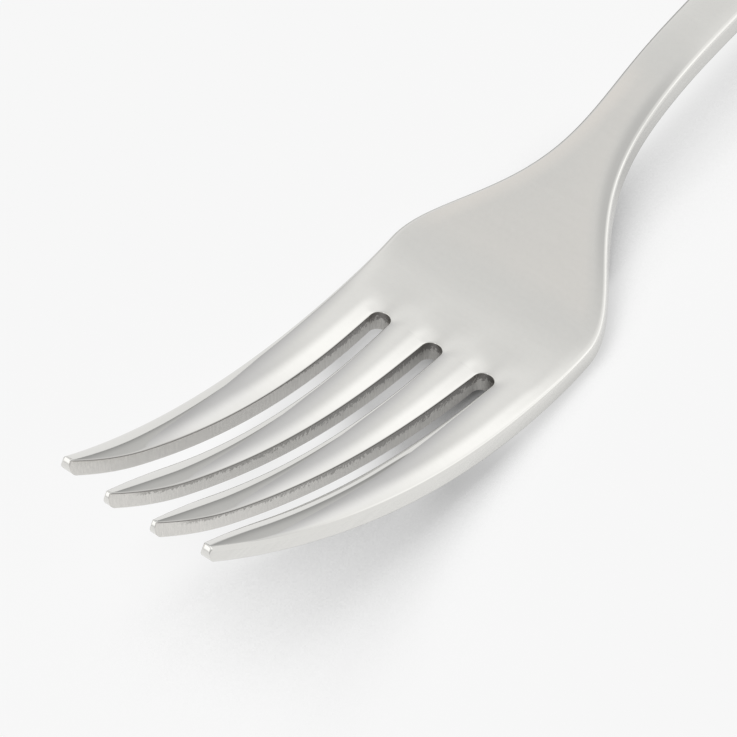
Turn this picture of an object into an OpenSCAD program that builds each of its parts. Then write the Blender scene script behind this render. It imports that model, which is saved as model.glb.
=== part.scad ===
// Dinner fork with four tines, forged and polished in one piece.
// It lies with its hollow side up, on the heel of the head and the end of the handle.
// x runs along the fork towards the tips, y across it and z up from the surface it lies on.
// Places along the fork are given as u, the distance back from the tips of the inner tines.

/* [Overall] */
// Length from the tips to the end of the handle
length = 205; // [185:1:225]

/* [Tines] */
// Length of the tines, from their tips to the ends of the slots
tine_len = 49.3; // [44:0.1:55]
// Width of an inner tine where it meets the head
inner_root_w = 4.55; // [3.9:0.05:5.2]
// Width of an outer tine where it meets the head
outer_root_w = 4.95; // [4.2:0.05:5.6]
// Width of an inner tine before its pointed end
inner_tip_w = 2.75; // [2.5:0.05:3.2]
// Width of an outer tine before its pointed end
outer_tip_w = 1.9; // [1.6:0.05:2.4]
// How far the outer tips stand back from the inner ones
outer_setback = 0.85; // [0:0.05:2.5]
// Radius of the crown across each tine's upper face
crown_r = 4.6; // [4:0.1:8]
// Dish across the row of tips: the middle is this much lower than the sides
tip_dish = 0.8; // [0:0.05:1.2]

/* [Slots] */
// Width of a slot at its round end
slot_w = 2.25; // [1.8:0.05:3]
// Width of a slot at the tips, before it opens out
slot_tip_w = 2.9; // [2.5:0.05:3.4]
// Extra half-width of a slot's mouth, which points the tines
mouth_flare = 1.1; // [0.6:0.05:1.15]
// Length of that pointed stretch
mouth_len = 10.3; // [6:0.1:14]

/* [Head and neck] */
// From the ends of the slots back to the widest place
shoulder_gap = 9.2; // [4:0.1:12]
// From the widest place back to the neck
shoulder_len = 35.3; // [28:0.1:42]
// Width of the neck
neck_w = 5.65; // [4.5:0.05:8]
// How early the shoulder reaches the width of the neck
shoulder_skew = 2.25; // [1.5:0.05:2.6]
// How softly the shoulder leaves the widest place: a higher value holds the width longer
shoulder_hold = 0.7; // [0.6:0.05:1.2]
// Dish across the head at its widest place
head_dish = 0.12; // [0:0.01:0.6]
// Share of the tines' crown that is left along the edges of the head and handle
edge_crown = 0.25; // [0:0.05:0.6]
// Length of head over which the crown fades to that share
crown_fade = 14; // [8:0.5:20]

/* [Side profile] */
// Height of the tips above the head
tip_rise = 26.6; // [15:0.1:32]
// From the ends of the slots back to where the upward curve of the tines starts
curve_gap = 12.25; // [9:0.05:17]
// Length over which that curve sets in
curve_onset = 3.3; // [2:0.1:8]
// Height of the neck above the head
neck_rise = 9.4; // [5:0.1:14]
// From the ends of the slots back to where the neck starts to rise
rise_gap = 2.45; // [1:0.05:8]
// How far behind the narrowest place the neck stops rising
rise_over = 3.95; // [2:0.05:12]
// How late the handle bends down to the surface
arch_power = 2.45; // [2:0.05:3]

/* [Handle] */
// Width of the handle's round end
end_w = 19; // [14:0.5:24]
// How late the handle widens
widen_power = 2.25; // [1.8:0.05:3]

/* [Thickness] */
// Thickness of the tines at their tips
tip_t = 1.8; // [1.5:0.05:2.2]
// Thickness of the head
head_t = 2.85; // [2.2:0.05:3.5]
// Thickness of the neck
neck_t = 3.15; // [2.4:0.05:4]
// Thickness of the handle at its end
end_t = 2.2; // [1.8:0.05:3]
// Rise of the handle's end that brings its underside level with the heel of the head
end_lift = 0.1; // [0:0.01:0.4]
// Lean of the side walls where the profile climbs: 1 is square to the faces and 0 is upright
wall_lean = 0.73; // [0.5:0.01:1]

/* [Edges] */
// Rounding of the outer upper edges
rim_r = 0.4; // [0.25:0.05:0.6]
// Rounding of the outer lower edges
keel_r = 0.4; // [0.25:0.05:0.7]
// Rounding along the slots
slot_r = 0.2; // [0.15:0.01:0.3]
// Rounding under a tip
tip_belly_r = 0.8; // [0.4:0.05:0.9]

/* [Hidden] */

tines = 4;
slots = tines - 1;
slot_end_r = slot_w / 2;
slot_straight = tine_len - slot_end_r;
shoulder_at = tine_len + shoulder_gap;
neck_at = shoulder_at + shoulder_len;
curve_from = tine_len + curve_gap;
rise_from = tine_len + rise_gap;
rise_to = neck_at + rise_over;
end_r = end_w / 2;
end_at = length - end_r;
widen_from = neck_at - 10;
end_drop = head_t + neck_rise - end_t - end_lift;
tip_dish_soft = 5;
head_dish_reach = 35;
crown_reach = inner_root_w / 2;
slope_step = 0.01;

root_half_w = 1.5 * slot_w + inner_root_w + outer_root_w;
tip_half_w = 1.5 * slot_tip_w + inner_tip_w + outer_tip_w;
root_share = pow(1 - slot_straight / shoulder_at, 2);
head_half_w = (root_half_w - root_share * tip_half_w) / (1 - root_share);
root_pitch = slot_w + inner_root_w;
tip_pitch = slot_tip_w + inner_tip_w;
pitch_power = 2.1;

// Points across one tine, on its upper and its lower face
top_cols = 9;
low_cols = 7;
fillet_steps = 2;
tine_ring = top_cols + low_cols;
top_all = tines * (top_cols - 1) + 1;
low_all = tines * (low_cols - 1) + 1;
body_ring = top_all + low_all;

function clamp(v, low, high) = min(max(v, low), high);
function mix(a, b, s) = a + (b - a) * s;
function leg(long, side) = sqrt(max(0, long * long - side * side));

// Step from 0 to 1 with no slope or bend at either end
function ease(v) = let (w = clamp(v, 0, 1)) w * w * w * (w * (6 * w - 15) + 10);

// Straight rise, and square rise, that set in gently over the length soft
function ramp(d, soft) = d <= 0 ? 0 : d * d / (d + soft);
function curl(d, soft) = d * ramp(d, soft);

// Height lost by a rounded edge of radius r at distance d inside it
function rounding(d, r) = d >= r ? 0 : r - leg(r, r - max(d, 0));

// Half-width of the outline, without the round end
function flank(u) =
    let (taper = pow(max(1 - u / shoulder_at, 0), 2),
         head = mix(head_half_w, tip_half_w, taper),
         turn = pow(ease((u - shoulder_at) / shoulder_len), shoulder_hold),
         widen = pow(clamp((u - widen_from) / (length - widen_from), 0, 1), widen_power))
    mix(neck_w / 2, head, pow(1 - turn, shoulder_skew)) + widen * (end_w - neck_w) / 2;

function half_width(u) = u <= end_at ? flank(u) : flank(u) * leg(1, (u - end_at) / end_r);

// Middle and half-width of slot k, counted from -1 to 1 across the fork
function slot_mid(k, u) =
    k * mix(tip_pitch, root_pitch, pow(min(u, slot_straight) / tine_len, pitch_power));
function slot_half(u) = u > slot_straight ? leg(slot_end_r, u - slot_straight)
    : mix(slot_tip_w, slot_w, u / slot_straight) / 2
        + mouth_flare * pow(max(1 - u / mouth_len, 0), 2);

// Height of the plain surface along the middle, its dish across the tips, and the dish in the head,
// which only the upper face has: the heel underneath is level across, so that the fork lies firmly
function height(u) =
    let (arch = pow(clamp((u - neck_at) / (length - neck_at), 0, 1), arch_power))
    head_t + tip_rise * curl(curve_from - u, curve_onset) / curl(curve_from, curve_onset)
        + neck_rise * ease((u - rise_from) / (rise_to - rise_from)) - end_drop * arch;
function dish(u, y) =
    tip_dish * ramp(tine_len - u, tip_dish_soft) / ramp(tine_len, tip_dish_soft)
        * (1 - pow(y / flank(u), 2));
function hollow(u, y) =
    head_dish * ease(1 - abs(u - shoulder_at) / head_dish_reach) * (1 - pow(y / flank(u), 2));
function thickness(u) = tip_t
    + (head_t - tip_t) * ease(u / curve_from)
    + (neck_t - head_t) * ease((u - curve_from) / (neck_at - curve_from))
    + (end_t - neck_t) * ease((u - neck_at) / (length - neck_at));
function slope(u) = (height(u + slope_step) - height(u - slope_step)) / (2 * slope_step);

// Length of the outline for each millimetre of u
function stretch(u) = norm([1, (flank(u + slope_step) - flank(u - slope_step)) / (2 * slope_step)]);

// Left and right side of tine k, counted from 0 at the -y side
function tine_left(k, u) = k == 0 ? -half_width(u) : slot_mid(k - 2, u) + slot_half(u);
function tine_right(k, u) = k == slots ? half_width(u) : slot_mid(k - 1, u) - slot_half(u);
function tine_tip(k) = (k == 0 || k == slots) ? outer_setback : 0;

// Distance inside the outer edge, and from the nearest slot
function rim_gap(u, y) = u > end_at
    ? (1 - norm([(u - end_at) / end_r, y / flank(u)])) * end_r
    : (half_width(u) - abs(y)) / stretch(u);
function slot_gap(u, y) = min([for (k = [-1:1])
    u > slot_straight ? norm([u - slot_straight, y - slot_mid(k, u)]) - slot_end_r
        : abs(y - slot_mid(k, u)) - slot_half(u)]);

// Rise of the upper face inside its edges: an arc that levels off within half a tine's width
function crown(u, y, half) =
    let (reach = min(half, crown_reach),
         gap = clamp(min(rim_gap(u, y), slot_gap(u, y)), 0, reach),
         share = mix(1, edge_crown, ease((u - tine_len) / crown_fade)))
    share * gap * (2 * reach - gap) / (2 * crown_r);

// Place of a point: u along, y across, and off the plain surface by rise, along the lean of the walls.
// A tine lies level across. The dish takes over from its middle mid towards the head.
function place(u, y, mid, rise) =
    let (s = wall_lean * slope(u), n = norm([1, s]),
         dished = mix(mid, y, pow(min(u / tine_len, 1), 2)))
    [rise * s / n - u, y, height(u) - dish(u, dished) + rise / n];

function top_point(u, y, tip, mid, half) =
    let (cut = max(rounding(rim_gap(u, y), rim_r), rounding(slot_gap(u, y), slot_r),
             rounding(u - tip, slot_r)))
    place(u, y, mid, crown(u, y, half) - hollow(u, y) - cut);
function low_point(u, y, tip, mid) =
    let (cut = max(rounding(rim_gap(u, y), keel_r), rounding(slot_gap(u, y), slot_r),
             rounding(u - tip, tip_belly_r)))
    place(u, y, mid, cut - thickness(u));

// Steps in from an edge of radius r, closer together towards the edge
function steps_in(r) = [for (i = [0:fillet_steps]) r * (1 - cos(90 * i / fillet_steps))];

// The same steps across the side of a slot, where they keep their distance round its end
function slot_steps(u, r) =
    let (along = clamp(u - slot_straight, 0, slot_end_r))
    [for (e = steps_in(r)) leg(slot_end_r + e, along) - leg(slot_end_r, along)];

// Places across tine k at u. Its outer edge has radius r.
function tine_across(k, u, r, cols) =
    let (a = tine_left(k, u), b = tine_right(k, u), room = (b - a) / 3,
         outer = steps_in(min(r * stretch(u), room)),
         inner = slot_steps(u, min(slot_r, room)),
         left = k == 0 ? outer : inner, right = k == slots ? outer : inner,
         low = a + left[fillet_steps], high = b - right[fillet_steps],
         spaces = cols - 2 * fillet_steps - 1)
    concat([for (e = left) a + e],
        [for (i = [1:1:spaces - 1]) mix(low, high, i / spaces)],
        [for (i = [fillet_steps:-1:0]) b - right[i]]);

// Ring of points round tine k at u
function tine_row(k, u) =
    let (mid = (tine_left(k, u) + tine_right(k, u)) / 2, half = tine_right(k, u) - mid,
         low = tine_across(k, u, keel_r, low_cols))
    concat([for (y = tine_across(k, u, rim_r, top_cols)) top_point(u, y, tine_tip(k), mid, half)],
        [for (i = [low_cols - 1:-1:0]) low_point(u, low[i], tine_tip(k), mid)]);

// Places across the whole width at u, which start as the tines' own and spread out evenly
spread_len = 14;
function body_across(u, r, cols) =
    let (half = half_width(u), all = tines * (cols - 1),
         rim = min(r * stretch(u), half / 3), sides = steps_in(rim),
         start = [for (k = [0:slots], i = [0:1:cols - (k == slots ? 1 : 2)])
             tine_across(k, tine_len, r, cols)[i]],
         start_scale = (half - rim) / (half_width(tine_len) - r * stretch(tine_len)),
         even = ease((u - tine_len) / spread_len))
    [for (i = [0:all])
        i <= fillet_steps ? sides[i] - half
        : i >= all - fillet_steps ? half - sides[all - i]
        : mix(start_scale * start[i],
            mix(rim - half, half - rim, (i - fillet_steps) / (all - 2 * fillet_steps)), even)];

function body_row(u) =
    let (low = body_across(u, keel_r, low_cols))
    concat([for (y = body_across(u, rim_r, top_cols)) top_point(u, y, -1, 0, crown_reach)],
        [for (i = [low_all - 1:-1:0]) low_point(u, low[i], -1, 0)]);

// Places of the rings along a tine: close at the tip, even along it, round the slot's end
tip_rows = 7;
tip_row_len = 5;
mid_rows = 15;
arc_rows = 6;
function tine_places(tip) = concat(
    [for (i = [0:tip_rows - 1]) tip + tip_row_len * pow(i / tip_rows, 2)],
    [for (i = [0:mid_rows - 1]) mix(tip_row_len + 1, slot_straight, i / mid_rows)],
    [for (i = [0:arc_rows - 1]) slot_straight + slot_end_r * sin(90 * i / arc_rows)]);
tine_rows = tip_rows + mid_rows + arc_rows;

// Places of the rings from the ends of the slots to the end of the handle
near_rows = 5;
near_len = 2;
head_rows = 24;
handle_rows = 18;
end_rows = 9;
last_turn = 84;
body_places = concat(
    [for (e = steps_in(slot_r)) tine_len + e],
    [for (i = [1:near_rows - 1]) tine_len + mix(slot_r, near_len, pow(i / near_rows, 1.5))],
    [for (i = [0:head_rows - 1]) mix(tine_len + near_len, neck_at, i / head_rows)],
    [for (i = [0:handle_rows - 1]) mix(neck_at, end_at, i / handle_rows)],
    [for (i = [0:end_rows]) end_at + end_r * sin(last_turn * i / end_rows)]);
body_rows = len(body_places);

raw_points = concat(
    [for (k = [0:slots], u = tine_places(tine_tip(k))) each tine_row(k, u)],
    [for (u = body_places) each body_row(u)]);
all_x = [for (p = raw_points) p[0]];
all_z = [for (p = raw_points) p[2]];
middle_x = (min(all_x) + max(all_x)) / 2;
base_z = min(all_z);
fork_points = [for (p = raw_points) p - [middle_x, 0, base_z]];

body_start = tines * tine_rows * tine_ring;
function body_index(i, j) = body_start + i * body_ring + j % body_ring;

// Point j of ring i on tine k. Its last ring is its share of the body's first one.
function tine_index(k, i, j) =
    let (n = j % tine_ring)
    i < tine_rows ? (k * tine_rows + i) * tine_ring + n
    : n < top_cols ? body_index(0, k * (top_cols - 1) + n)
    : body_index(0, top_all + (slots - k) * (low_cols - 1) + n - top_cols);

fork_faces = concat(
    [for (k = [0:slots], i = [0:tine_rows - 1], j = [0:tine_ring - 1]) each [
        [tine_index(k, i, j), tine_index(k, i + 1, j), tine_index(k, i + 1, j + 1)],
        [tine_index(k, i, j), tine_index(k, i + 1, j + 1), tine_index(k, i, j + 1)]]],
    [for (i = [0:body_rows - 2], j = [0:body_ring - 1]) each [
        [body_index(i, j), body_index(i + 1, j), body_index(i + 1, j + 1)],
        [body_index(i, j), body_index(i + 1, j + 1), body_index(i, j + 1)]]],
    [for (k = [0:slots]) [for (j = [0:tine_ring - 1]) tine_index(k, 0, j)]],
    [[for (j = [body_ring - 1:-1:0]) body_index(body_rows - 1, j)]]);

module fork() {
    color([0.80, 0.79, 0.77])
        polyhedron(points = fork_points, faces = fork_faces, convexity = 6);
}

fork();
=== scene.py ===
# A dinner fork of polished steel, lying hollow side up on a white table.
# The form follows the CAD model's sizes, in millimetres, with finer roundings. MM turns them into metres.
# Places along the fork are given as u, the distance back from the tips of the inner tines.
import math

import bmesh
import bpy
import numpy as np
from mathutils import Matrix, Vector


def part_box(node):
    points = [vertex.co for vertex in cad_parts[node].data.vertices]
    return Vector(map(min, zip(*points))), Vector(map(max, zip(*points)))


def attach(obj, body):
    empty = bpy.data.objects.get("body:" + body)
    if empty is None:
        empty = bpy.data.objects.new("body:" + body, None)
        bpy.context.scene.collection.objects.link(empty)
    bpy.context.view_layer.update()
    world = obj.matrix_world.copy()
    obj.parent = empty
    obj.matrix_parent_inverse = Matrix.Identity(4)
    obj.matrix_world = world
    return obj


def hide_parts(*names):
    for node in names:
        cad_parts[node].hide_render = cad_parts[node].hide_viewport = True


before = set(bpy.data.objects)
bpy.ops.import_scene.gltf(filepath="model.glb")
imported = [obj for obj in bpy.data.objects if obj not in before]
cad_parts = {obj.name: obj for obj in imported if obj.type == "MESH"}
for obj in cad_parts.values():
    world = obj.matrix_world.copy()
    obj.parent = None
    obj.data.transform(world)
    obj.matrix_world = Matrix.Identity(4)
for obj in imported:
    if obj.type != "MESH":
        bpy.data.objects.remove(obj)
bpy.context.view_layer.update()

MM = 0.001

# Sizes of the fork, as in the CAD model
LENGTH = 205.0
TINE_LEN = 49.3
INNER_ROOT_W = 4.55
OUTER_ROOT_W = 4.95
INNER_TIP_W = 2.75
OUTER_TIP_W = 1.9
OUTER_SETBACK = 0.85
CROWN_R = 4.6
TIP_DISH = 0.8
SLOT_W = 2.25
SLOT_TIP_W = 2.9
MOUTH_FLARE = 1.1
MOUTH_LEN = 10.3
SHOULDER_GAP = 9.2
SHOULDER_LEN = 35.3
NECK_W = 5.65
EDGE_CROWN = 0.25
CROWN_FADE = 14.0
SHOULDER_SKEW = 2.25
SHOULDER_HOLD = 0.7
HEAD_DISH = 0.12
TIP_RISE = 26.6
CURVE_GAP = 12.25
CURVE_ONSET = 3.3
NECK_RISE = 9.4
RISE_GAP = 2.45
RISE_OVER = 3.95
ARCH_POWER = 2.45
END_W = 19.0
WIDEN_POWER = 2.25
TIP_T = 1.8
HEAD_T = 2.85
NECK_T = 3.15
END_T = 2.2
END_LIFT = 0.1
WALL_LEAN = 0.73
RIM_R = 0.4
KEEL_R = 0.4

# Forms that are finer here than in the CAD model: how far before the slots' ends the crown starts to fade,
# the share of it that is flat behind them, and the roundings along the slots and at the tips
CROWN_LEAD = 6.0
SLOT_END_FLAT = 0.7
SLOT_R = 0.12
TIP_BELLY_R = 1.4
TIP_SIDE_SHARE = 0.5

# Places and widths worked out from them
TINES = 4
SLOTS = TINES - 1
SLOT_NUMBERS = (-1, 0, 1)
SLOT_END_R = SLOT_W / 2
SLOT_STRAIGHT = TINE_LEN - SLOT_END_R
SHOULDER_AT = TINE_LEN + SHOULDER_GAP
NECK_AT = SHOULDER_AT + SHOULDER_LEN
CURVE_FROM = TINE_LEN + CURVE_GAP
RISE_FROM = TINE_LEN + RISE_GAP
RISE_TO = NECK_AT + RISE_OVER
END_R = END_W / 2
END_AT = LENGTH - END_R
WIDEN_LEAD = 10.0
WIDEN_FROM = NECK_AT - WIDEN_LEAD
END_DROP = HEAD_T + NECK_RISE - END_T - END_LIFT
CROWN_REACH = INNER_ROOT_W / 2
FLAT_REACH = 3 * CROWN_REACH
TIP_DISH_SOFT = 5.0
HEAD_DISH_REACH = 35.0
PITCH_POWER = 2.1
SLOPE_STEP = 0.01
ROOT_HALF_W = SLOTS / 2 * SLOT_W + INNER_ROOT_W + OUTER_ROOT_W
TIP_HALF_W = SLOTS / 2 * SLOT_TIP_W + INNER_TIP_W + OUTER_TIP_W
ROOT_SHARE = (1 - SLOT_STRAIGHT / SHOULDER_AT) ** 2
HEAD_HALF_W = (ROOT_HALF_W - ROOT_SHARE * TIP_HALF_W) / (1 - ROOT_SHARE)
ROOT_PITCH = SLOT_W + INNER_ROOT_W
TIP_PITCH = SLOT_TIP_W + INNER_TIP_W

# Points of a ring: columns on the upper and lower face of one tine, steps in a rounding, steps down a wall
COLS = 25
FILLET_STEPS = 4
WALL_STEPS = 8
# Length of head over which the tines' columns spread out evenly
SPREAD_LEN = 14.0

# Rings along a tine: close together over TIP_LEN at its tip, even along it, and round the slot's end
TIP_LEN, TIP_GAP = 4.0, 0.2
TIP_ROWS, TIP_CROWDING = 18, 2.2
TINE_ROWS = 84
SLOT_END_ROWS = 14
# Rings of the body: close together over NEAR_LEN behind the slots, along the head and the handle, and round
# the handle's end, as far as END_TURN degrees
NEAR_LEN, NEAR_ROWS, NEAR_CROWDING = 2.0, 14, 1.8
HEAD_ROWS = 90
HANDLE_ROWS = 70
END_ROWS, END_TURN = 24, 88

# The form keeps this far inside the CAD model's box, and points nearer than MERGE_GAP become one
BOX_CLEARANCE = 0.002
MERGE_GAP = 2e-4

# Materials by the part of the ring that a face lies on
TOP, WALL, BELLY, TIP_END, SLOT_WALL = range(5)


def mix(a, b, s):
    return a + (b - a) * s


def leg(long, side):
    return math.sqrt(max(0.0, long * long - side * side))


def ease(v):
    w = min(max(v, 0.0), 1.0)
    return w * w * w * (w * (6 * w - 15) + 10)


def ramp(d, soft):
    return 0.0 if d <= 0 else d * d / (d + soft)


def curl(d, soft):
    return d * ramp(d, soft)


def rounding(d, r):
    return 0.0 if d >= r else r - leg(r, r - max(d, 0.0))


def flank(u):
    taper = max(1 - u / SHOULDER_AT, 0.0) ** 2
    head = mix(HEAD_HALF_W, TIP_HALF_W, taper)
    turn = ease((u - SHOULDER_AT) / SHOULDER_LEN) ** SHOULDER_HOLD
    widen = min(max((u - WIDEN_FROM) / (LENGTH - WIDEN_FROM), 0.0), 1.0) ** WIDEN_POWER
    return mix(NECK_W / 2, head, (1 - turn) ** SHOULDER_SKEW) + widen * (END_W - NECK_W) / 2


def half_width(u):
    return flank(u) if u <= END_AT else flank(u) * leg(1.0, (u - END_AT) / END_R)


def slot_mid(k, u):
    return k * mix(TIP_PITCH, ROOT_PITCH, (min(u, SLOT_STRAIGHT) / TINE_LEN) ** PITCH_POWER)


def slot_half(u):
    if u > SLOT_STRAIGHT:
        return leg(SLOT_END_R, u - SLOT_STRAIGHT)
    return mix(SLOT_TIP_W, SLOT_W, u / SLOT_STRAIGHT) / 2 + MOUTH_FLARE * max(1 - u / MOUTH_LEN, 0.0) ** 2


def height(u):
    arch = min(max((u - NECK_AT) / (LENGTH - NECK_AT), 0.0), 1.0) ** ARCH_POWER
    tines = TIP_RISE * curl(CURVE_FROM - u, CURVE_ONSET) / curl(CURVE_FROM, CURVE_ONSET)
    return HEAD_T + tines + NECK_RISE * ease((u - RISE_FROM) / (RISE_TO - RISE_FROM)) - END_DROP * arch


def dish(u, y):
    share = ramp(TINE_LEN - u, TIP_DISH_SOFT) / ramp(TINE_LEN, TIP_DISH_SOFT)
    return TIP_DISH * share * (1 - (y / flank(u)) ** 2)


def hollow(u, y):
    """Depth of the dish in the head, which only the upper face has."""
    return HEAD_DISH * ease(1 - abs(u - SHOULDER_AT) / HEAD_DISH_REACH) * (1 - (y / flank(u)) ** 2)


def thickness(u):
    return (TIP_T + (HEAD_T - TIP_T) * ease(u / CURVE_FROM)
            + (NECK_T - HEAD_T) * ease((u - CURVE_FROM) / (NECK_AT - CURVE_FROM))
            + (END_T - NECK_T) * ease((u - NECK_AT) / (LENGTH - NECK_AT)))


def slope(u):
    return (height(u + SLOPE_STEP) - height(u - SLOPE_STEP)) / (2 * SLOPE_STEP)


def stretch(u):
    return math.hypot(1.0, (flank(u + SLOPE_STEP) - flank(u - SLOPE_STEP)) / (2 * SLOPE_STEP))


def tine_left(k, u):
    return -half_width(u) if k == 0 else slot_mid(k - 2, u) + slot_half(u)


def tine_right(k, u):
    return half_width(u) if k == SLOTS else slot_mid(k - 1, u) - slot_half(u)


def tine_tip(k):
    return OUTER_SETBACK if k in (0, SLOTS) else 0.0


def rim_gap(u, y):
    if u > END_AT:
        return (1 - math.hypot((u - END_AT) / END_R, y / flank(u))) * END_R
    return (half_width(u) - abs(y)) / stretch(u)


def slot_gap(u, y):
    if u > SLOT_STRAIGHT:
        return min(math.hypot(u - SLOT_STRAIGHT, y - slot_mid(k, u)) for k in SLOT_NUMBERS) - SLOT_END_R
    return min(abs(y - slot_mid(k, u)) for k in SLOT_NUMBERS) - slot_half(u)


def behind_slot(u, y):
    """How squarely a point lies behind the nearest slot's round end, from 0 beside it to 1."""
    back = u - SLOT_STRAIGHT
    if back <= 0:
        return 0.0
    return max((back / math.hypot(back, y - slot_mid(k, u))) ** 2 for k in SLOT_NUMBERS)


def crown(u, y, half):
    """Rise of the upper face inside its edges: an arc that levels off within half a tine's width."""
    reach = min(half, CROWN_REACH)
    if reach <= 0:
        return 0.0
    gap = min(max(min(rim_gap(u, y), slot_gap(u, y)), 0.0), reach)
    share = mix(1.0, EDGE_CROWN, ease((u - TINE_LEN + CROWN_LEAD) / (CROWN_FADE + CROWN_LEAD)))
    flat = SLOT_END_FLAT * behind_slot(u, y) * (1 - ease(slot_gap(u, y) / FLAT_REACH))
    return share * (1 - flat) * gap * (2 * reach - gap) / (2 * CROWN_R)


def place(u, y, mid, rise):
    """Point off the plain surface by rise, and its depth below it. A tine is level across near its tip."""
    lean = WALL_LEAN * slope(u)
    n = math.hypot(1.0, lean)
    dished = mix(mid, y, min(u / TINE_LEN, 1.0) ** 2)
    return (rise * lean / n - u, y, height(u) - dish(u, dished) + rise / n, -rise)


def top_rise(u, y, tip, half):
    cut = max(rounding(rim_gap(u, y), RIM_R), rounding(slot_gap(u, y), SLOT_R), rounding(u - tip, SLOT_R))
    return crown(u, y, half) - hollow(u, y) - cut


def low_rise(u, y, tip):
    cut = max(rounding(rim_gap(u, y), KEEL_R), rounding(slot_gap(u, y), SLOT_R),
              rounding(u - tip, TIP_BELLY_R))
    return cut - thickness(u)


def steps_in(r):
    return [r * (1 - math.cos(math.pi / 2 * i / FILLET_STEPS)) for i in range(FILLET_STEPS + 1)]


def slot_steps(u, r):
    along = min(max(u - SLOT_STRAIGHT, 0.0), SLOT_END_R)
    return [leg(SLOT_END_R + e, along) - leg(SLOT_END_R, along) for e in steps_in(r)]


def tine_across(k, u, r):
    """Places across tine k at u, close together in the roundings at its sides."""
    a, b = tine_left(k, u), tine_right(k, u)
    room = (b - a) / 3
    outer = steps_in(min(r * stretch(u), room))
    inner = slot_steps(u, min(SLOT_R, room))
    left = outer if k == 0 else inner
    right = outer if k == SLOTS else inner
    low, high = a + left[-1], b - right[-1]
    spaces = COLS - 2 * FILLET_STEPS - 1
    return ([a + e for e in left] + [mix(low, high, i / spaces) for i in range(1, spaces)]
            + [b - e for e in reversed(right)])


def body_across(u, r):
    """Places across the whole width at u, which start as the tines' own and spread out evenly."""
    half = half_width(u)
    count = TINES * (COLS - 1)
    rim = min(r * stretch(u), half / 3)
    sides = steps_in(rim)
    start = [y for k in range(TINES) for y in tine_across(k, TINE_LEN, r)[:COLS if k == SLOTS else COLS - 1]]
    scale = (half - rim) / (half_width(TINE_LEN) - r * stretch(TINE_LEN))
    even = ease((u - TINE_LEN) / SPREAD_LEN)
    across = []
    for i in range(count + 1):
        if i <= FILLET_STEPS:
            across.append(sides[i] - half)
        elif i >= count - FILLET_STEPS:
            across.append(half - sides[count - i])
        else:
            spread = mix(rim - half, half - rim, (i - FILLET_STEPS) / (count - 2 * FILLET_STEPS))
            across.append(mix(scale * start[i], spread, even))
    return across


def wall_down(u, y, mid, top, low):
    """Points down a side wall, between the last point of the upper face and the first of the lower one."""
    return [place(u, y, mid, mix(top, low, (1 - math.cos(math.pi * i / WALL_STEPS)) / 2))
            for i in range(1, WALL_STEPS)]


def ring(u, across_top, across_low, tip, mid, half):
    """Closed ring of points at u: upper face from left to right, right wall, lower face, left wall."""
    top = [top_rise(u, y, tip, half) for y in across_top]
    low = [low_rise(u, y, tip) for y in across_low]
    points = [place(u, y, mid, rise) for y, rise in zip(across_top, top)]
    points += wall_down(u, across_top[-1], mid, top[-1], low[-1])
    points += [place(u, y, mid, rise) for y, rise in zip(reversed(across_low), reversed(low))]
    points += wall_down(u, across_top[0], mid, low[0], top[0])
    return points


def tine_ring(k, u):
    """Ring round tine k, whose sides draw in beside the tip to round the end facet's upright edges."""
    a, b = tine_left(k, u), tine_right(k, u)
    mid, half = (a + b) / 2, (b - a) / 2
    corner = TIP_SIDE_SHARE * (tine_right(k, tine_tip(k)) - tine_left(k, tine_tip(k))) / 2
    draw_in = 1 - rounding(u - tine_tip(k), corner) / half
    points = ring(u, tine_across(k, u, RIM_R), tine_across(k, u, KEEL_R), tine_tip(k), mid, half)
    return [(x, mid + (y - mid) * draw_in, z, deep) for x, y, z, deep in points]


def body_ring(u):
    return ring(u, body_across(u, RIM_R), body_across(u, KEEL_R), -1.0, 0.0, CROWN_REACH)


def spaced(a, b, count, power=1.0):
    return [mix(a, b, (i / count) ** power) for i in range(count)]


def tine_places(tip):
    near = [tip + e for e in spaced(0.0, TIP_LEN, TIP_ROWS, TIP_CROWDING)]
    turns = [math.pi / 2 * i / SLOT_END_ROWS for i in range(SLOT_END_ROWS + 1)]
    arc = [SLOT_STRAIGHT + SLOT_END_R * math.sin(turn) for turn in turns]
    return near + spaced(TIP_LEN + TIP_GAP + tip, SLOT_STRAIGHT, TINE_ROWS) + arc


def body_places():
    near_end = TINE_LEN + NEAR_LEN
    turns = [math.radians(END_TURN) * i / END_ROWS for i in range(END_ROWS + 1)]
    return (spaced(TINE_LEN, near_end, NEAR_ROWS, NEAR_CROWDING) + spaced(near_end, NECK_AT, HEAD_ROWS)
            + spaced(NECK_AT, END_AT, HANDLE_ROWS) + [END_AT + END_R * math.sin(turn) for turn in turns])


def tube_faces(start, rows, count):
    """Quads between neighbouring rings whose first point has the index start."""
    faces = []
    for i in range(rows - 1):
        for j in range(count):
            a, b = start + i * count + j, start + i * count + (j + 1) % count
            faces.append((a, a + count, b + count, b))
    return faces


def ring_parts(cols):
    """Which part of the ring each face of one row lies on."""
    return [TOP] * (cols - 1) + [WALL] * WALL_STEPS + [BELLY] * (cols - 1) + [WALL] * WALL_STEPS


def cap_edge(start, cols):
    """Finds the ring's point at column i and step j of the grid that closes it, and None inside the grid."""
    count = 2 * cols + 2 * (WALL_STEPS - 1)

    def index(i, j):
        if j == 0:
            return start + i
        if j == WALL_STEPS:
            return start + 2 * cols + WALL_STEPS - 2 - i
        if i == cols - 1:
            return start + cols + j - 1
        if i == 0:
            return start + count - j
        return None
    return index


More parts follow.
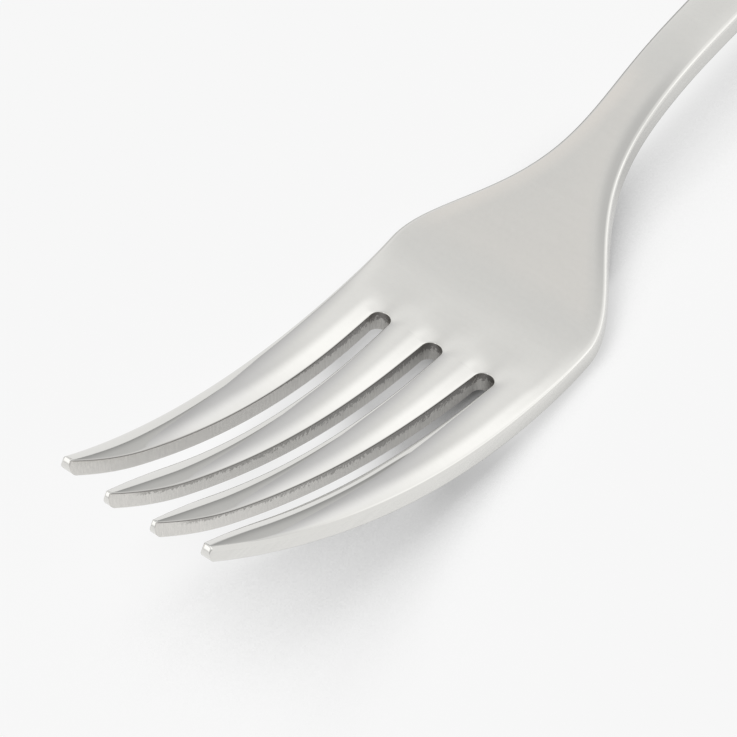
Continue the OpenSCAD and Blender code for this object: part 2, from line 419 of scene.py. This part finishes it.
def make_fork():
    points, faces, parts = [], [], []
    for k in range(TINES):
        places = tine_places(tine_tip(k))
        start = len(points)
        rows = [tine_ring(k, u) for u in places]
        count = len(rows[0])
        points += [p for row in rows for p in row]
        faces += tube_faces(start, len(rows), count)
        row_parts = ring_parts(COLS)
        for j, part in enumerate(row_parts):
            outer = part == WALL and ((k == 0 and j > count / 2) or (k == SLOTS and j < count / 2))
            row_parts[j] = SLOT_WALL if part == WALL and not outer else part
        parts += row_parts * (len(rows) - 1)
        add_cap(points, faces, parts, start, COLS, TIP_END, True)
    cols = TINES * (COLS - 1) + 1
    start = len(points)
    rows = [body_ring(u) for u in body_places()]
    points += [p for row in rows for p in row]
    faces += tube_faces(start, len(rows), len(rows[0]))
    parts += ring_parts(cols) * (len(rows) - 1)
    add_cap(points, faces, parts, start + (len(rows) - 1) * len(rows[0]), cols, WALL, False)
    return points, faces, parts


def add_cap(points, faces, parts, start, cols, part, front):
    """Closes the ring that starts at start with a grid whose inner points lie evenly between its edges."""
    index = cap_edge(start, cols)
    grid = [[index(i, j) for j in range(WALL_STEPS + 1)] for i in range(cols)]
    for i in range(1, cols - 1):
        top, low = np.array(points[grid[i][0]]), np.array(points[grid[i][WALL_STEPS]])
        for j in range(1, WALL_STEPS):
            share = (1 - math.cos(math.pi * j / WALL_STEPS)) / 2
            grid[i][j] = len(points)
            points.append(tuple(mix(top, low, share)))
    for i in range(cols - 1):
        for j in range(WALL_STEPS):
            quad = (grid[i][j], grid[i + 1][j], grid[i + 1][j + 1], grid[i][j + 1])
            faces.append(quad if front else quad[::-1])
            parts.append(part)


def fit_to_box(places):
    """Moves the form to the CAD model's place, just inside its box."""
    low, high = (np.array(v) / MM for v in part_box("fork"))
    room = high - low - 2 * BOX_CLEARANCE
    places = places * np.minimum(1.0, room / (places.max(axis=0) - places.min(axis=0)))
    start, end = places.min(axis=0), places.max(axis=0)
    middle_x = (start[0] + end[0]) / 2 - (low[0] + high[0]) / 2
    return places - [middle_x, 0.0, start[2] - low[2] - BOX_CLEARANCE]


def set_values(mesh, name, values):
    mesh.attributes.new(name, "FLOAT", "POINT").data.foreach_set("value", np.array(values, np.float32))


def build_fork():
    """The fork. Its points carry their depth under the upper face and their inset from the side."""
    points, faces, parts = make_fork()
    rows = np.array(points)
    mesh = bpy.data.meshes.new("fork_body")
    mesh.from_pydata((fit_to_box(rows[:, :3]) * MM).tolist(), [], faces)
    set_values(mesh, "depth", rows[:, 3])
    set_values(mesh, "inset", [half_width(min(max(-x, 0.0), LENGTH)) - abs(y) for x, y in rows[:, :2]])
    mesh.polygons.foreach_set("material_index", np.array(parts, np.int32))
    merged = bmesh.new()
    merged.from_mesh(mesh)
    bmesh.ops.remove_doubles(merged, verts=merged.verts, dist=MERGE_GAP * MM)
    bmesh.ops.recalc_face_normals(merged, faces=merged.faces)
    merged.to_mesh(mesh)
    merged.free()
    mesh.shade_smooth()
    piece = bpy.data.objects.new("fork_body", mesh)
    bpy.context.scene.collection.objects.link(piece)
    return piece


# The camera, placed by its bearing from the point that it looks at
CAMERA_AZIMUTH = 37.13
CAMERA_ELEVATION = 52.12
CAMERA_DISTANCE = 463.8
CAMERA_TARGET = (62.64, -1.77, 7.79)
FOCAL_PIXELS = 4500.0
IMAGE_SIZE = 737.0
SENSOR = 36.0
CLIP_START = 10.0


def direction(azimuth, elevation):
    a, e = math.radians(azimuth), math.radians(elevation)
    return Vector((math.cos(e) * math.cos(a), math.cos(e) * math.sin(a), math.sin(e)))


def make_camera():
    data = bpy.data.cameras.new("camera")
    data.sensor_width = SENSOR
    data.lens = FOCAL_PIXELS / IMAGE_SIZE * SENSOR
    data.clip_start = CLIP_START * MM
    camera = bpy.data.objects.new("camera", data)
    back = direction(CAMERA_AZIMUTH, CAMERA_ELEVATION)
    camera.location = (Vector(CAMERA_TARGET) + back * CAMERA_DISTANCE) * MM
    camera.rotation_mode = "QUATERNION"
    camera.rotation_quaternion = (-back).to_track_quat("-Z", "Y")
    bpy.context.scene.collection.objects.link(camera)
    bpy.context.scene.camera = camera


class Net:
    """Adds shader nodes to a tree. An input is a number, a colour or another node's output."""

    def __init__(self, owner):
        owner.use_nodes = True
        self.tree = owner.node_tree
        self.nodes = self.tree.nodes

    def add(self, kind, inputs=None, out=0, **settings):
        node = self.nodes.new("ShaderNode" + kind)
        for name, value in settings.items():
            setattr(node, name, value)
        for name, value in (inputs or {}).items():
            self.join(value, node.inputs[name])
        return node.outputs[out]

    def join(self, value, socket):
        if isinstance(value, bpy.types.NodeSocket):
            self.tree.links.new(value, socket)
        else:
            socket.default_value = value

    def math(self, operation, *values):
        return self.add("Math", dict(enumerate(values)), operation=operation)

    def product(self, first, *others):
        for other in others:
            first = self.math("MULTIPLY", first, other)
        return first

    def axis(self, vector, name):
        return self.add("SeparateXYZ", {0: vector}, out=name)

    def places(self):
        """Places on the object, in millimetres."""
        return self.add("VectorMath", {0: self.add("TexCoord", out="Object"), 1: (1 / MM,) * 3},
                        operation="MULTIPLY")

    def fade(self, value, start, end):
        """Smooth step that is 0 at start and 1 at end."""
        return self.add("MapRange", {0: value, 1: float(start), 2: float(end)},
                        interpolation_type="SMOOTHSTEP")

    def span(self, value, low, high, to_low, to_high):
        return self.add("MapRange", {0: value, 1: low, 2: high, 3: to_low, 4: to_high})

    def window(self, value, start, full, full_end, end):
        """Smooth rise from start to full, and fall from full_end to end."""
        return self.product(self.fade(value, start, full), self.fade(value, end, full_end))

    def tint(self, factor, a, b, blend="MIX"):
        return self.add("Mix", {0: factor, 6: a, 7: b}, out=2, data_type="RGBA", blend_type=blend)

    def curve(self, value, points):
        """Straight lines between (place, height) points, with the places and heights from 0 to 1."""
        node = self.nodes.new("ShaderNodeValToRGB")
        stops = node.color_ramp.elements
        while len(stops) < len(points):
            stops.new(0.5)
        for stop, (place_at, level) in zip(stops, points):
            stop.position = place_at
            stop.color = (level, level, level, 1.0)
        self.join(value, node.inputs[0])
        return node.outputs[0]


STEEL = (0.757, 0.75, 0.722)
# Where u is 0, on the scene's x axis
TIPS_X = 102.13
# Nearly all of a noise lies between these levels
NOISE = (0.3, 0.7)


class Metal(Net):
    """A steel material, with its places in millimetres."""

    def __init__(self, name, color=STEEL, roughness=0.1):
        self.material = bpy.data.materials.new(name)
        super().__init__(self.material)
        self.shader = self.nodes["Principled BSDF"]
        self.color = (*color, 1.0)
        self.set("Base Color", self.color)
        self.set("Metallic", 1.0)
        self.set("Roughness", roughness)
        self.place = self.places()

    def set(self, name, value):
        self.join(value, self.shader.inputs[name])

    def along(self):
        """Distance back from the tips."""
        return self.math("SUBTRACT", TIPS_X, self.axis(self.place, "X"))

    def across(self):
        return self.axis(self.place, "Y")

    def value(self, name):
        """What build_fork wrote to the fork's points under this name."""
        return self.add("Attribute", out="Fac", attribute_name=name)

    def noise(self, stretch, detail=2.0, rough=0.5, twist=0.0):
        """Noise from 0 to 1 whose grains measure stretch millimetres along each axis."""
        scaled = self.add("VectorMath", {0: self.place, 1: tuple(1.0 / s for s in stretch)},
                          operation="MULTIPLY")
        return self.add("TexNoise", {"Vector": scaled, "Scale": 1.0, "Detail": detail, "Roughness": rough,
                                     "Distortion": twist})

    def shade(self, value, low, high):
        """Multiplies the steel's colour by value, spread from low to high."""
        return self.tint(1.0, self.color, self.span(value, *NOISE, low, high), blend="MULTIPLY")

    def bump(self, value, depth):
        """Raises the surface by value times depth, in millimetres."""
        self.set("Normal", self.add("Bump", {"Height": value, "Strength": 1.0, "Distance": depth * MM}))


# The upper face's roughness on the tines and on the head, and where along the fork it changes
TOP_ROUGHNESS, SATIN_FROM = (0.045, 0.19), (36.0, 58.0)
BRUSH_ROUGHNESS = 0.015
# Painted dark reflections: thin dark lines where the face turns to the left, and to the right beside the
# slots: fades by the surface normal's y, along the fork and across it
PAINTED_EDGE_LINE = (0.36, 0.35, 0.34)
LEFT_TURN, RIGHT_TURN = (-0.55, -0.85), (0.5, 0.8)
SLOTS_ALONG, SLOTS_ACROSS = (49.0, 44.0), (8.0, 6.5)
# Painted dark reflections inside the neck's right edge and on the left rim: in from the edge, along and
# across the fork
NECK_SHADE = (0.64, 0.635, 0.615)
NECK_SHADE_IN, NECK_SHADE_ALONG, NECK_SHADE_SIDE = (0.25, 0.5, 0.8, 1.9), (60.0, 72.0, 82.0, 96.0), (0.0, 0.5)
LEFT_RIM_SHADE = (0.58, 0.57, 0.55)
LEFT_IN, LEFT_ALONG, LEFT_SIDE = (0.45, 0.1), (52.0, 62.0), (0.0, -0.5)


# Painted reflection: darkens the upper face where it turns away at its edges
def painted_edge_lines(metal):
    facing = metal.axis(metal.add("NewGeometry", out="Normal"), "Y")
    beside = metal.product(metal.fade(metal.along(), *SLOTS_ALONG), metal.fade(metal.across(), *SLOTS_ACROSS))
    right = metal.product(metal.fade(facing, *RIGHT_TURN), beside)
    return metal.math("MAXIMUM", metal.fade(facing, *LEFT_TURN), right)


# Painted reflection: a darker band inside the neck's right edge
def painted_neck_shade(metal):
    return metal.product(metal.window(metal.value("inset"), *NECK_SHADE_IN),
                         metal.window(metal.along(), *NECK_SHADE_ALONG), metal.fade(metal.across(), *NECK_SHADE_SIDE))


# Painted reflection: a darker left rim
def painted_rim_shade(metal):
    return metal.product(metal.fade(metal.value("inset"), *LEFT_IN),
                         metal.fade(metal.along(), *LEFT_ALONG), metal.fade(metal.across(), *LEFT_SIDE))


def polished_top():
    """Mirror-like tines, and a satin head with a fine grain and faint curved brush marks."""
    metal = Metal("steel_top")
    grain = metal.noise((0.5, 0.5, 0.5), detail=3.0)
    brush = metal.noise((1.2, 7.0, 5.0), detail=3.0, twist=1.2)
    mixed = metal.math("ADD", metal.product(grain, 0.5), metal.product(brush, 0.5))
    # The darker neck band, left rim and edge lines laid on the steel here are painted reflections
    base = metal.tint(painted_neck_shade(metal), metal.shade(mixed, 0.985, 1.01), (*NECK_SHADE, 1.0))
    base = metal.tint(painted_rim_shade(metal), base, (*LEFT_RIM_SHADE, 1.0))
    metal.set("Base Color", metal.tint(painted_edge_lines(metal), base, (*PAINTED_EDGE_LINE, 1.0)))
    satin = metal.fade(metal.along(), *SATIN_FROM)
    metal.set("Roughness", metal.math("ADD", metal.span(satin, 0.0, 1.0, *TOP_ROUGHNESS),
                                      metal.span(brush, *NOISE, -BRUSH_ROUGHNESS, BRUSH_ROUGHNESS)))
    metal.bump(mixed, 0.0006)
    return metal.material


def rubbed_steel(name, roughness, grain, darkest, depth):
    """Satin steel with rub marks that measure grain millimetres along each axis."""
    metal = Metal(name, roughness=roughness)
    rub = metal.noise(grain)
    metal.set("Base Color", metal.shade(rub, darkest, 1.0))
    metal.bump(rub, depth)
    return metal.material


def smooth_side():
    return rubbed_steel("steel_side", roughness=0.16, grain=(6.0, 6.0, 0.25), darkest=0.95, depth=0.002)


def smooth_belly():
    return rubbed_steel("steel_belly", roughness=0.14, grain=(8.0, 0.8, 0.8), darkest=0.97, depth=0.001)


def bright_tip():
    return rubbed_steel("steel_tip", roughness=0.12, grain=(0.4, 0.15, 0.4), darkest=0.95, depth=0.002)


# The slot walls grow rougher along ROOT_ALONG, towards the slots' ends, where painted shade also darkens them
SLOT_STEEL = (0.70, 0.685, 0.655)
SLOT_ROUGHNESS, ROOT_ALONG = (0.26, 0.38), (24.0, 48.0)
# The ragged dark band under their upper edges: its depth from the tips to the slots' ends, how much that
# varies, how softly it ends, where it starts along a tine and across the fork, and its colours
BAND_DEPTH, BAND_ALONG = (0.42, 1.15), (10.0, 49.0)
BAND_VARIES, BAND_SOFT = (0.3, 1.7), (-0.04, 0.1)
BAND_START, BAND_INNER = (2.0, 4.5), (-5.0, -2.0)
BAND_DARK, BAND_ROOT_DARK = (0.40, 0.39, 0.37), (0.26, 0.25, 0.24)


def ground_slot():
    """Slot walls: ground across, so fine lines run down them, with a ragged dark band along the top."""
    metal = Metal("steel_slot", color=SLOT_STEEL)
    lines = metal.noise((0.09, 0.09, 1.8), detail=3.0, rough=0.6)
    ragged = metal.noise((0.3, 0.3, 0.45), detail=3.0, rough=0.7)
    along = metal.along()
    root = metal.fade(along, *ROOT_ALONG)
    inner = metal.math("MAXIMUM", metal.fade(metal.across(), *BAND_INNER), root)
    reach = metal.product(metal.span(along, *BAND_ALONG, *BAND_DEPTH),
                          metal.span(ragged, *NOISE, *BAND_VARIES), inner)
    band = metal.product(metal.fade(metal.math("SUBTRACT", reach, metal.value("depth")), *BAND_SOFT),
                         metal.fade(along, *BAND_START))
    # Painted shade: the walls darken towards the slots' ends
    wall = metal.tint(root, metal.shade(lines, 0.9, 1.05), metal.shade(lines, 0.62, 0.9))
    dark = metal.tint(root, (*BAND_DARK, 1.0), (*BAND_ROOT_DARK, 1.0))
    metal.set("Base Color", metal.tint(band, wall, dark))
    metal.set("Roughness", metal.span(root, 0.0, 1.0, *SLOT_ROUGHNESS))
    metal.bump(lines, 0.006)
    return metal.material


# The table: a sheet as pale as the backdrop, by its corners
FLOOR = ((190.0, 190.0), (-320.0, 190.0), (-320.0, -260.0), (190.0, -260.0))
PALE = 0.93
# The steel alone mirrors a darker table beyond a slanting line, which starts at LINE_AT: levels by the
# distance in millimetres across the line, how softly it starts, and where it ends along x and y
LINE_AT, LINE_BEARING = (13.0, -36.0), 217.0
BEYOND = ((0.0, 0.25), (3.0, 0.29), (10.0, 0.37), (22.0, 0.46), (40.0, 0.53), (100.0, 0.58))
LINE_SOFT, LINE_ENDS = (-1.5, 0.5), ((26.0, 16.0), (12.0, 0.0))
# The table's shade comes mostly from the sky that the fork shuts out: it is DEEPEST where the share of open
# sky is SHUT, and gone where it is OPEN. The lamp gives LAMP_SHARE of the light
SHUT, OPEN, DEEPEST = 0.17, 0.735, 0.0
SHADE_REACH, SHADE_SAMPLES = 300.0, 8
LAMP_SHARE = 0.14
# On the fork's right the shade gets no deeper than BESIDE, which falls along x and starts across y
BESIDE, BESIDE_ALONG, BESIDE_ACROSS = (0.78, 0.45), (55.0, 65.0), (5.0, 9.0)
# The shade is lifted by LIT_SHARE ahead of the tines and on their left: fades across a slant through
# LIT_MIDDLE, and by x - y
LIT_SLANT, LIT_MIDDLE = 0.4, 84.0
LIT_WIDE, LIT_FRONT, LIT_SHARE = (18.0, -16.0), (45.0, 61.0), 0.6
# It is lifted by LIT_BETWEEN between the tines, for the camera alone: fades across the slant and along them
LIT_SLOTS, LIT_TINES, TINES_SLANT, LIT_BETWEEN = (5.0, -4.0), (52.0, 72.0), -0.6, 0.95
# It is lifted fully on the handle's left: fades along x and across y
LIT_ALONG, LIT_ASIDE = (25.0, 13.0), (4.0, -2.0)


def sheet(name, outline):
    mesh = bpy.data.meshes.new(name)
    mesh.from_pydata([(x * MM, y * MM, 0.0) for x, y in outline], [], [tuple(range(len(outline)))])
    piece = bpy.data.objects.new(name, mesh)
    bpy.context.scene.collection.objects.link(piece)
    return mesh


def table_lift(net, x, y, seen):
    """How far the table's shade is lifted back to white. seen is 1 for what the camera sees itself."""
    aside = net.math("ADD", y, net.product(net.math("SUBTRACT", x, LIT_MIDDLE), LIT_SLANT))
    ahead = net.fade(net.math("SUBTRACT", x, y), *LIT_FRONT)
    front = net.product(net.fade(aside, *LIT_WIDE), ahead, LIT_SHARE)
    tines = net.fade(net.math("ADD", x, net.product(y, TINES_SLANT)), *LIT_TINES)
    between = net.product(net.fade(aside, *LIT_SLOTS), tines, LIT_BETWEEN, seen)
    handle = net.product(net.fade(x, *LIT_ALONG), net.fade(y, *LIT_ASIDE))
    return net.math("MAXIMUM", net.math("MAXIMUM", front, handle), between)


def table_shade(net, x, y, seen):
    """Light on the table, from 0 to 1."""
    sky = net.add("AmbientOcclusion", {"Distance": SHADE_REACH * MM}, out="AO", samples=SHADE_SAMPLES)
    beside = net.product(net.fade(y, *BESIDE_ACROSS), net.span(x, *BESIDE_ALONG, *BESIDE))
    shade = net.math("MAXIMUM", net.span(sky, SHUT, OPEN, DEEPEST, 1.0), beside)
    dark = net.math("SUBTRACT", 1.0, shade)
    return net.math("ADD", shade, net.product(dark, table_lift(net, x, y, seen)))


def beyond_line(net, x, y):
    """Level of the table beyond the slanting line, and where that level holds."""
    c, s = math.cos(math.radians(LINE_BEARING)), math.sin(math.radians(LINE_BEARING))
    across = net.math("SUBTRACT", net.product(net.math("SUBTRACT", y, LINE_AT[1]), -c),
                      net.product(net.math("SUBTRACT", x, LINE_AT[0]), -s))
    far = BEYOND[-1][0]
    level = net.curve(net.math("DIVIDE", across, far), [(at / far, value) for at, value in BEYOND])
    ends = net.product(net.fade(x, *LINE_ENDS[0]), net.fade(y, *LINE_ENDS[1]))
    return level, net.product(net.fade(across, *LINE_SOFT), ends)


def make_floor():
    mesh = sheet("floor", FLOOR)
    material = bpy.data.materials.new("table_white")
    net = Net(material)
    pale = (PALE, PALE, PALE, 1.0)
    matt = net.nodes["Principled BSDF"]
    net.join(pale, matt.inputs["Base Color"])
    net.join(1.0, matt.inputs["Roughness"])
    net.join(0.0, matt.inputs["Specular IOR Level"])
    place = net.places()
    x, y = (net.axis(place, name) for name in "XY")
    rays = net.nodes.new("ShaderNodeLightPath").outputs
    shade = table_shade(net, x, y, rays["Is Camera Ray"])
    level, held = beyond_line(net, x, y)
    mirrored = net.product(held, rays["Is Glossy Ray"])
    shown = net.add("Emission", {"Color": net.tint(mirrored, pale, level),
                                 "Strength": net.math("MAXIMUM", shade, mirrored)})
    mixed = net.add("MixShader", {0: 1 - LAMP_SHARE, 1: matt.outputs[0], 2: shown})
    net.join(mixed, net.nodes["Material Output"].inputs["Surface"])
    mesh.materials.append(material)


# The studio round the fork, as the steel mirrors it: level by elevation in degrees, then broad soft panels
PROFILE = ((-90, 0.45), (-15, 0.48), (-8, 0.49), (-4, 0.52), (0, 0.57), (4, 0.65), (8, 0.70), (12, 0.755),
           (16, 0.81), (20, 0.865), (24, 0.92), (28, 0.95), (34, 0.95), (40, 0.90), (46, 0.84), (52, 0.81),
           (65, 0.80), (76, 0.76), (90, 0.76))
# Each panel: middle azimuth, azimuths from it where it starts, is full, is full still and ends,
# elevations likewise, and the colour that it adds
PANELS = (
    (160, (-60, -40, 21, 41), (-14, 12, 34, 46), (0.10, 0.10, 0.10)),
    (160, (-60, -40, 21, 41), (-14, 12, 42, 52), (0.22, 0.22, 0.22)),
    (160, (-60, -40, 20, 57), (42, 52, 58, 98), (0.22, 0.22, 0.22)),
    (140, (-35, -15, 6, 26), (-20, -4, 4, 22), (0.20, 0.20, 0.20)),
    (105, (-30, -12, 12, 25), (-12, 0, 26, 40), (0.2, 0.2, 0.2)),
    (-22, (-50, -25, 25, 50), (-20, 0, 20, 45), (0.75, 0.75, 0.75)),
    (262, (-30, -10, 20, 35), (44, 54, 62, 72), (0.11, 0.08, 0.06)),
    (205, (-35, -15, 15, 35), (-20, -5, 10, 22), (-0.02, 0.0, 0.015)),
    (165, (-60, -40, 18, 40), (-12, -4, 3, 14), (0.12, 0.12, 0.12)),
)
# The level that the studio gives to matt surfaces
FILL = 0.1


def make_world():
    world = bpy.data.worlds.new("studio")
    bpy.context.scene.world = world
    world.cycles.sampling_method = "NONE"
    net = Net(world)
    way = net.add("TexCoord", out="Generated")
    x, y, z = (net.axis(way, name) for name in "XYZ")
    elevation = net.math("MULTIPLY", net.math("ARCSINE", z), 180 / math.pi)
    level = net.curve(net.math("DIVIDE", net.math("ADD", elevation, 90.0), 180.0),
                      [((e + 90) / 180, v) for e, v in PROFILE])
    color = level
    for middle, turns, rises, added in PANELS:
        c, s = math.cos(math.radians(middle)), math.sin(math.radians(middle))
        ahead = net.math("ADD", net.math("MULTIPLY", x, c), net.math("MULTIPLY", y, s))
        aside = net.math("SUBTRACT", net.math("MULTIPLY", y, c), net.math("MULTIPLY", x, s))
        turn = net.math("MULTIPLY", net.math("ARCTAN2", aside, ahead), 180 / math.pi)
        share = net.product(net.window(turn, *turns), net.window(elevation, *rises))
        color = net.tint(share, color, net.tint(1.0, color, (*added, 1.0), blend="ADD"))
    rays = net.nodes.new("ShaderNodeLightPath").outputs
    lit = net.tint(rays["Is Diffuse Ray"], color, (FILL, FILL, FILL, 1.0))
    shown = net.tint(rays["Is Camera Ray"], lit, (PALE, PALE, PALE, 1.0))
    net.join(shown, net.nodes["Background"].inputs["Color"])


# The lamp: azimuth and elevation, width in degrees, and the level that it gives the table
LAMP_BEARING, LAMP_WIDTH, LAMP_LEVEL = (-31.0, 67.0), 34.0, 0.9


def make_lamp():
    data = bpy.data.lights.new("key", "SUN")
    data.angle = math.radians(LAMP_WIDTH)
    data.energy = LAMP_LEVEL * math.pi / math.sin(math.radians(LAMP_BEARING[1]))
    lamp = bpy.data.objects.new("key", data)
    lamp.rotation_mode = "QUATERNION"
    lamp.rotation_quaternion = direction(*LAMP_BEARING).to_track_quat("Z", "Y")
    lamp.visible_glossy = False
    bpy.context.scene.collection.objects.link(lamp)


make_camera()
fork = build_fork()
for material in (polished_top(), smooth_side(), smooth_belly(), bright_tip(), ground_slot()):
    fork.data.materials.append(material)
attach(fork, "root")
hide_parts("fork")
make_floor()
make_world()
make_lamp()
bpy.context.scene.view_settings.view_transform = "Standard"
